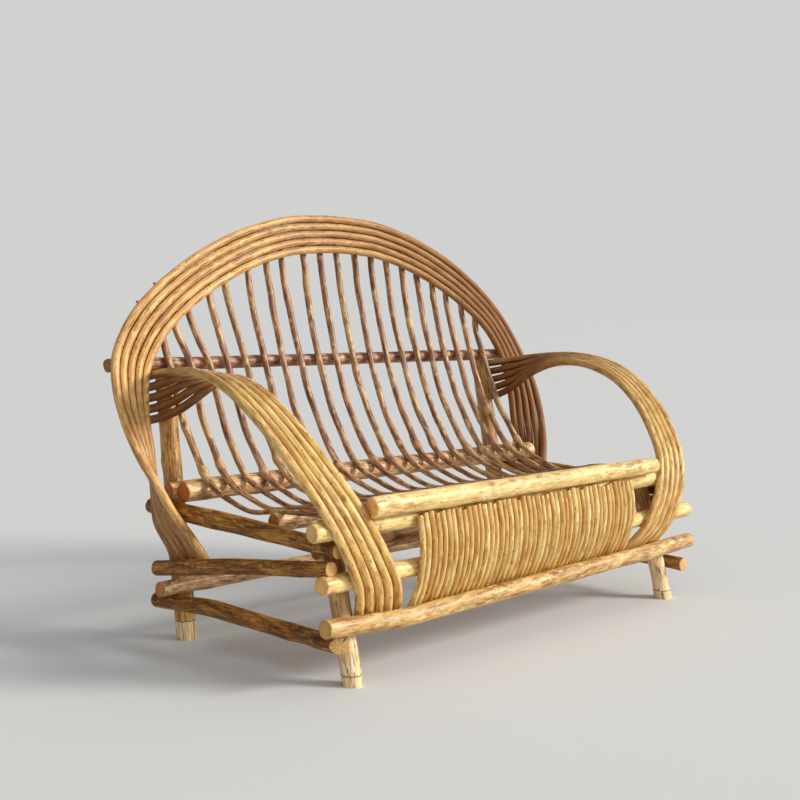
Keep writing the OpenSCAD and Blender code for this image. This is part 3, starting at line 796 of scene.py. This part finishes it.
MATERIALS = {
    "arch_rods": branch_material(
        "honey_bark", dark=colour(174, 120, 62), middle=colour(216, 168, 98),
        light=colour(238, 198, 126), patch=colour(242, 210, 142), stain=colour(200, 138, 84),
        fleck=colour(96, 52, 24), cover=0.44, stained=0.5, flecked=0.8,
        knot_tint=colour(122, 70, 32), roughness=0.44, varnish=0.25, relief=0.5,
        tone_spread=0.6, warm=colour(246, 220, 196), pale=colour(255, 248, 224)),
    "arm_rods": branch_material(
        "straw_bark", dark=colour(174, 124, 62), middle=colour(220, 180, 104),
        light=colour(240, 210, 134), patch=colour(246, 222, 154), stain=colour(200, 146, 82),
        fleck=colour(104, 62, 28), cover=0.46, stained=0.5, flecked=0.8,
        knot_tint=colour(128, 80, 38), roughness=0.44, varnish=0.25, relief=0.5,
        tone_spread=0.6, warm=colour(246, 224, 196), pale=colour(255, 250, 228)),
    "slats": branch_material(
        "russet_bark", dark=colour(104, 68, 50), middle=colour(158, 116, 82),
        light=colour(208, 172, 122), patch=colour(236, 208, 156), stain=colour(124, 84, 72),
        fleck=colour(74, 42, 32), cover=0.45, stained=0.45, flecked=0.75,
        knot_tint=colour(218, 174, 116), roughness=0.46, varnish=0.22, relief=0.6,
        tone_spread=0.8, warm=colour(236, 206, 192), pale=colour(255, 246, 214)),
    "panel_sticks": branch_material(
        "peeled_willow", dark=colour(196, 148, 84), middle=colour(230, 196, 126),
        light=colour(246, 224, 162), patch=colour(252, 238, 188), stain=colour(204, 148, 78),
        fleck=colour(116, 70, 32), cover=0.46, stained=0.6, flecked=0.8,
        knot_tint=colour(140, 90, 44), roughness=0.5, varnish=0.15, relief=0.6,
        tone_spread=1.0, warm=colour(228, 200, 150), pale=colour(255, 255, 236)),
    "posts": branch_material(
        "amber_bark", dark=colour(136, 90, 34), middle=colour(198, 146, 70),
        light=colour(228, 180, 98), patch=colour(234, 192, 114), stain=colour(150, 94, 38),
        fleck=colour(80, 46, 20), cover=0.42, stained=0.5, flecked=0.8,
        knot_tint=colour(96, 54, 24), roughness=0.48, varnish=0.2, relief=0.7,
        tone_spread=0.4, warm=colour(250, 228, 202), pale=colour(255, 246, 224),
        bare_to=0.045, ring_at=0.045),
    "front_legs": branch_material(
        "weathered_bark", dark=colour(146, 102, 58), middle=colour(194, 150, 98),
        light=colour(222, 186, 130), patch=colour(232, 200, 144), stain=colour(144, 96, 56),
        fleck=colour(80, 46, 20), cover=0.42, stained=0.4, flecked=0.75,
        knot_tint=colour(96, 54, 24), roughness=0.5, varnish=0.15, relief=0.7,
        tone_spread=0.4, warm=colour(250, 228, 202), pale=colour(255, 246, 224),
        bare_to=0.125, ring_at=0.023),
    "front_rails": branch_material(
        "pale_birch_bark", dark=colour(192, 146, 80), middle=colour(232, 196, 122),
        light=colour(244, 218, 148), patch=colour(250, 232, 174), stain=colour(196, 138, 74),
        fleck=colour(122, 76, 36), cover=0.48, stained=0.35, flecked=0.8,
        knot_tint=colour(136, 84, 40), roughness=0.44, varnish=0.24, relief=0.55,
        tone_spread=0.5, warm=colour(252, 236, 206), pale=colour(255, 250, 228),
        # Sawn ends: pale fresh-cut wood, made brighter still as painted light, since they face away
        # from the key light
        sawn_dark=colour(240, 170, 84), sawn_light=colour(255, 214, 134)),
    "bottom_rail": branch_material(
        "blotched_birch_bark", dark=colour(150, 102, 52), middle=colour(204, 162, 100),
        light=colour(228, 194, 132), patch=colour(242, 216, 158), stain=colour(148, 94, 46),
        fleck=colour(104, 62, 30), cover=0.46, stained=0.75, flecked=0.8,
        knot_tint=colour(112, 66, 32), roughness=0.46, varnish=0.22, relief=0.65,
        tone_spread=0.5, warm=colour(250, 230, 200), pale=colour(255, 250, 228),
        sawn_dark=colour(200, 140, 66), sawn_light=colour(236, 182, 102)),
    "side_rails": branch_material(
        "olive_bark", dark=colour(88, 50, 12), middle=colour(146, 94, 28),
        light=colour(196, 142, 60), patch=colour(216, 166, 82), stain=colour(80, 42, 12),
        fleck=colour(56, 30, 14), cover=0.42, stained=0.7, flecked=0.8,
        knot_tint=colour(56, 28, 12), roughness=0.55, varnish=0.08, relief=0.75,
        tone_spread=0.5, warm=colour(244, 220, 196), pale=colour(255, 246, 220),
        sawn_dark=colour(226, 166, 92), sawn_light=colour(252, 208, 136)),
    "back_logs": branch_material(
        "rose_bark", dark=colour(146, 102, 64), middle=colour(206, 166, 114),
        light=colour(238, 206, 150), patch=colour(248, 226, 172), stain=colour(150, 100, 68),
        fleck=colour(80, 44, 28), cover=0.46, stained=0.55, flecked=0.75,
        knot_tint=colour(88, 50, 30), roughness=0.48, varnish=0.2, relief=0.65,
        tone_spread=0.5, warm=colour(246, 222, 206), pale=colour(255, 248, 224),
        sawn_dark=colour(176, 98, 34), sawn_light=colour(222, 146, 66)),
    "top_rail": branch_material(
        "plum_bark", dark=colour(104, 64, 44), middle=colour(158, 110, 82),
        light=colour(204, 156, 120), patch=colour(226, 190, 146), stain=colour(116, 70, 52),
        fleck=colour(70, 38, 24), cover=0.42, stained=0.65, flecked=0.75,
        knot_tint=colour(84, 46, 28), roughness=0.48, varnish=0.2, relief=0.65,
        tone_spread=0.4, warm=colour(244, 218, 204), pale=colour(255, 246, 222),
        sawn_dark=colour(118, 74, 34), sawn_light=colour(168, 116, 60)),
}

# Pieces

# All points of a rod's end ring lie within this reach of the first one, in metres.
RING_REACH = {"arch_rods": 0.024, "arm_rods": 0.024, "slats": 0.0215}
CREVICE_STEP = 0.002
BAND_RODS = 5
ARCH_SEED = 101
ARM_SEEDS = {"left": 201, "right": 251}
SLAT_SEED = 300
STICK_SEED = 400
TRIM_SEED = 46
LOG_SEED = 500
TWIG_SEED = 701

# Painted shade on the arch's rods and the arms' rods, in zones, each a start and a length in metres;
# on the arch the darkening to the right is part painted shade, part stain.
# An arm's underside gets more painted shade the more its bark faces down.
UNDER_LEVEL = 0.45
UNDER_SLOPE = 1.4
UNDER_ZONE = (0.06, 0.12)
REAR_SHADE_LEFT = 0.42
REAR_SHADE_RIGHT = 0.65
REAR_ZONE = (-0.24, 0.40)
INNER_SHADE = 0.85
INNER_ZONE = (0.03, 0.10)
ARCH_SHADE_AND_STAIN = 0.78
ARCH_ZONE = (-0.42, 1.0)
FOOT_SHADE = 0.5
FOOT_ZONE = (0.40, 0.16)

# Stumps of side twigs on the outermost rod of the arch: shares of its length, and metres
TWIG_PLACES = (0.720, 0.744)
TWIG_SIZE = 0.0040
TWIG_TAPER = 0.7
TWIG_RINGS = 4
TWIG_LENGTH = 0.009
# How much darker the twig stubs are all over
TWIG_DARKENING = 0.8

# Slats thin and sink towards the front. All but every third have a large knot at a height.
SLAT_COUNT = 20
PLAIN_EVERY = 3
SAG_BACK = 0.17
SAG_EASE = 0.16
SAG_DROP = 0.0060
SLAT_TAPER = 0.32
SLAT_LEAN = (0, 1, 0.2)
SEAT_BEND = 0.40

# Sticks of the front panel: one of them is much thinner than the others
STICK_GAP = 0.012
STICK_OVERRUN = 0.3
STICK_TRIM = 0.007
STICK_SIZES = (0.93, 1.0)
GAP_STICK = 33
GAP_STICK_SIZE = 0.74


def dress(mesh, name, slot_name, nodes, finish=None):
    """Puts a mesh in the scene as the piece that stands for CAD nodes."""
    mesh.name = name
    mesh.materials.append(MATERIALS[finish or slot_name])
    piece = bpy.data.objects.new(name, mesh)
    bpy.context.scene.collection.objects.link(piece)
    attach(piece, "root")
    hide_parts(*nodes)


def fade_in(places, start, length):
    """Rises from 0 at a start to 1 over a length."""
    return np.clip((places - start) / length, 0, 1)


def arm_painted_shade(spot, outward, n):
    """Painted shade on the arms: darker at the back, underneath, and on all rods but the outermost."""
    depth = spot[:, 1]
    below = np.clip(UNDER_LEVEL - UNDER_SLOPE * outward[:, 2], 0, 1) * fade_in(depth, *UNDER_ZONE)
    most = np.where(spot[:, 0] > 0, REAR_SHADE_RIGHT, REAR_SHADE_LEFT)
    behind = most * fade_in(depth, *REAR_ZONE)
    inner = INNER_SHADE * fade_in(depth, *INNER_ZONE) * (n > 0)
    return np.maximum(np.maximum(below, behind), inner)


def arch_shade_and_stain(spot, outward, n):
    """The arch darkens from left to right, part stain and part painted shade, with painted shade
    behind the outermost rod at its feet.
    """
    rightwards = ARCH_SHADE_AND_STAIN * fade_in(spot[:, 0], *ARCH_ZONE)
    at_foot = FOOT_SHADE * (1 - fade_in(spot[:, 2], *FOOT_ZONE)) * (n > 0)
    return np.maximum(rightwards, at_foot)


def twig_stub(line, place, seed):
    """The short stump of a side twig, on the outer side of the arch."""
    points, radii = line
    curve = smooth_line(points, radii, CREVICE_STEP)[0]
    foot = curve[int(place * len(curve))]
    outward = (foot - curve.mean(0)) * (1, 0, 1)
    outward /= np.linalg.norm(outward)
    tip = foot + outward * (radii[0] + TWIG_LENGTH)
    twig = (np.linspace(foot, tip, TWIG_RINGS),
            np.linspace(TWIG_SIZE, TWIG_TAPER * TWIG_SIZE, TWIG_RINGS))
    return grow(twig, "band_rod", seed, BACKWARDS,
                darken=lambda spot, outward: np.full(len(spot), TWIG_DARKENING))


def groove_curves(lines):
    """A closely spaced centre line and a radius for each rod of a row, to find the painted shade in
    the grooves by.
    """
    return [(smooth_line(points, radii, CREVICE_STEP)[0], radii.mean()) for points, radii in lines]


def next_to(curves, n):
    """The curves of the rods on both sides of one in a row."""
    return [curves[m] for m in (n - 1, n + 1) if 0 <= m < len(curves)]


def dress_band(names, lines, slot_name, first_seed, up, darken):
    """Five rods side by side, each with painted shade where it touches the next one."""
    curves = groove_curves(lines)
    for n, node in enumerate(names):
        mesh = grow(lines[n], "band_rod", first_seed + n, up, neighbours=next_to(curves, n),
                    darken=lambda spot, outward: darken(spot, outward, n))
        if node == "arch_rod_1":
            stubs = [twig_stub(lines[n], place, TWIG_SEED + k) for k, place in enumerate(TWIG_PLACES)]
            mesh = join_meshes([mesh, *stubs], node)
        dress(mesh, f"bent_{node}", slot_name, [node])


def make_arch():
    names = [f"arch_rod_{n}" for n in range(1, BAND_RODS + 1)]
    lines = [rod_line(node, 2, -1, RING_REACH["arch_rods"]) for node in names]
    dress_band(names, lines, "arch_rods", ARCH_SEED, BACKWARDS, arch_shade_and_stain)


def make_arms():
    for side, first_seed in ARM_SEEDS.items():
        names = [f"arm_rod_{side}_{n}" for n in range(1, BAND_RODS + 1)]
        lines = [rod_line(node, 1, 1, RING_REACH["arm_rods"]) for node in names]
        lines = [(ease(points), radii) for points, radii in lines]
        dress_band(names, lines, "arm_rods", first_seed, ACROSS, arm_painted_shade)


def make_slats():
    """The bent slats of the seat and back, most of them with a large knot at the bend."""
    for n in range(1, SLAT_COUNT + 1):
        node = f"seat_slat_{n:02d}"
        points, radii = rod_line(node, 2, 1, RING_REACH["slats"])
        front = np.clip((SAG_BACK - points[:, 1]) / SAG_EASE, 0, 1)
        points[:, 2] -= front * (SAG_DROP + SLAT_TAPER * radii)
        radii = radii * (1 - SLAT_TAPER * front)
        knuckle = SEAT_BEND if n % PLAIN_EVERY else None
        mesh = grow((points, radii), "slat", SLAT_SEED + n, SLAT_LEAN, knuckle=knuckle)
        dress(mesh, f"bark_{node}", "slats", [node])


def loose_parts(bm):
    """The points of each separate solid in a mesh."""
    left = set(bm.verts)
    parts = []
    while left:
        front = {left.pop()}
        found = set(front)
        while front:
            front = {e.other_vert(v) for v in front for e in v.link_edges} - found
            found |= front
        left -= found
        parts.append(sorted(found, key=lambda v: v.index))
    return parts


def panel_lines():
    """Centre lines of the sticks, read from the one CAD node that holds them all."""
    bm = joined_copy("front_panel_sticks")
    sticks = sorted(loose_parts(bm), key=lambda stick: sum(v.co.x for v in stick) / len(stick))
    lines = []
    for stick in sticks:
        number = {v: i for i, v in enumerate(stick)}
        points = np.array([v.co for v in stick])
        faces = np.array([[number[v] for v in f.verts] for f in bm.faces if f.verts[0] in number])
        low = points[:, 2].min()
        high = points[:, 2].max()
        centres, radii = cuts_between(points, faces, 2, low + STICK_GAP, high - STICK_GAP)
        foot = centres[0] + (centres[0] - centres[1]) * STICK_OVERRUN
        tip = centres[-1] + (centres[-1] - centres[-2]) * STICK_OVERRUN
        lines.append(with_ends(foot, centres, tip, radii))
    bm.free()
    return lines


def make_panel():
    """The upright sticks of the front panel as one piece, cut to uneven lengths."""
    rng = random.Random(TRIM_SEED)
    lines = []
    for n, (centres, radii) in enumerate(panel_lines()):
        trim = rng.uniform(0.0, STICK_TRIM)
        upwards = centres[-1] - centres[-2]
        centres[-1] -= upwards / np.linalg.norm(upwards) * trim
        thin = GAP_STICK_SIZE if n == GAP_STICK else rng.uniform(*STICK_SIZES)
        lines.append((centres, radii * thin))
    curves = groove_curves(lines)
    # Each stick gets painted shade in the grooves next to its neighbours
    meshes = [grow(line, "panel_stick", STICK_SEED + n, BACKWARDS, neighbours=next_to(curves, n))
              for n, line in enumerate(lines)]
    dress(join_meshes(meshes, "peeled_panel_sticks"), "peeled_panel_sticks", "panel_sticks",
          ["front_panel_sticks"])


# Legs, posts, rails and logs: the axis each one runs along, and its slot
LOGS = {
    "front_leg_left": (2, "posts"), "front_leg_right": (2, "posts"),
    "rear_post_left": (2, "posts"), "rear_post_right": (2, "posts"),
    "seat_front_rail": (0, "front_rails"), "upper_front_cross_rail": (0, "front_rails"),
    "lower_front_cross_rail": (0, "front_rails"), "front_bottom_rail": (0, "front_rails"),
    "inner_cross_rail": (0, "back_logs"), "top_back_rail": (0, "back_logs"),
    "low_back_log_front": (0, "back_logs"), "low_back_log_rear": (0, "back_logs"),
    "seat_support_log": (0, "back_logs"), "rear_cross_rail": (0, "back_logs"),
    "seat_side_rail_left": (1, "side_rails"), "seat_side_rail_right": (1, "side_rails"),
    "mid_side_rail_left": (1, "side_rails"), "mid_side_rail_right": (1, "side_rails"),
    "bottom_side_rail_left": (1, "side_rails"), "bottom_side_rail_right": (1, "side_rails"),
}
LEG_OVERRUN = 0.016
NOTCH_REACH = 0.055
RAIL_TRIM = 0.044
SLANT_FACING = (-0.55, -0.83, 0.0)
FLOOR_FACING = (0, 0, -1)
FINISHES = {"front_leg_left": "front_legs", "front_leg_right": "front_legs",
            "front_bottom_rail": "bottom_rail", "top_back_rail": "top_rail"}


def make_logs():
    """Legs, posts, rails and logs. What stands grows too long and is sawn flat at its ends."""
    for n, (node, (axis, slot_name)) in enumerate(LOGS.items()):
        stands = axis == 2
        post = node.startswith("rear_post")
        notched = node.startswith("mid_side_rail")
        line = log_line(node, axis, low_gap=NOTCH_REACH if notched else END_GAP,
                        low_reach=LEG_OVERRUN if stands else -END_INSET,
                        high_reach=LEG_OVERRUN if post else -END_INSET,
                        trim=RAIL_TRIM if node == "seat_front_rail" else 0.0)
        mesh = grow(line, "log", LOG_SEED + n, BACKWARDS if stands else UPWARDS)
        if stands:
            saw(mesh, (0, 0, 0), FLOOR_FACING)
        if post:
            saw(mesh, (0, 0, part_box(node)[1][2]), UPWARDS)
        if node == "bottom_side_rail_left":
            tip = Vector(line[0][0]) + Vector((line[1][0], 0, 0))
            saw(mesh, tip, SLANT_FACING)
        if notched:
            notch(mesh, log_line("lower_front_cross_rail", 0))
        dress(mesh, f"bark_{node}", slot_name, [node], FINISHES.get(node))


make_arch()
make_arms()
make_slats()
make_panel()
make_logs()


# Floor, lights and camera

def make_floor():
    bm = bmesh.new()
    bmesh.ops.create_grid(bm, x_segments=1, y_segments=1, size=FLOOR_HALF)
    mesh = bpy.data.meshes.new("floor")
    bm.to_mesh(mesh)
    bm.free()
    floor = bpy.data.objects.new("floor", mesh)
    bpy.context.scene.collection.objects.link(floor)
    made = bpy.data.materials.new("pale_floor")
    made.use_nodes = True
    shader = made.node_tree.nodes["Principled BSDF"]
    shader.inputs["Base Color"].default_value = (*FLOOR_COLOUR, 1)
    shader.inputs["Roughness"].default_value = FLOOR_ROUGHNESS
    mesh.materials.append(made)


def make_key_light():
    lamp = bpy.data.lights.new("window_light", "SUN")
    lamp.energy = KEY_STRENGTH
    lamp.angle = math.radians(KEY_SPREAD)
    lamp.color = KEY_COLOUR
    holder = bpy.data.objects.new("window_light", lamp)
    holder.location = KEY_PLACE
    holder.rotation_mode = "QUATERNION"
    holder.rotation_quaternion = Vector(KEY_FROM).to_track_quat("Z", "Y")
    bpy.context.scene.collection.objects.link(holder)


def make_world():
    """Soft light from all round, brighter from the front and above, and a plain pale backdrop."""
    world = bpy.data.worlds.new("studio")
    bpy.context.scene.world = world
    world.use_nodes = True
    tree = world.node_tree
    tree.nodes.clear()
    path = tree.nodes.new("ShaderNodeLightPath")
    facing = put(tree, "VectorMath", {"operation": "DOT_PRODUCT"},
                 i0=put(tree, "TexCoord").outputs["Generated"], i1=Vector(SKY_FROM).normalized())
    level = spread(tree, facing.outputs["Value"], -1.0, 1.0, SKY_DIM, SKY_BRIGHT)
    light = put(tree, "Background", Color=(*SKY_COLOUR, 1), Strength=level)
    shown = put(tree, "Background", Color=(*BACKDROP_COLOUR, 1), Strength=1.0)
    mixed = put(tree, "MixShader", i0=path.outputs["Is Camera Ray"], i1=light.outputs[0],
                i2=shown.outputs[0])
    output = tree.nodes.new("ShaderNodeOutputWorld")
    tree.links.new(mixed.outputs[0], output.inputs["Surface"])


def make_camera():
    camera = bpy.data.cameras.new("camera")
    camera.lens = CAMERA_LENS
    camera.sensor_width = CAMERA_SENSOR
    holder = bpy.data.objects.new("camera", camera)
    holder.location = CAMERA_PLACE
    holder.rotation_euler = (math.radians(90 - CAMERA_DIP), 0, math.radians(-CAMERA_TURN))
    bpy.context.scene.collection.objects.link(holder)
    bpy.context.scene.camera = holder


make_floor()
make_world()
make_key_light()
make_camera()
bpy.context.scene.view_settings.view_transform = "Standard"
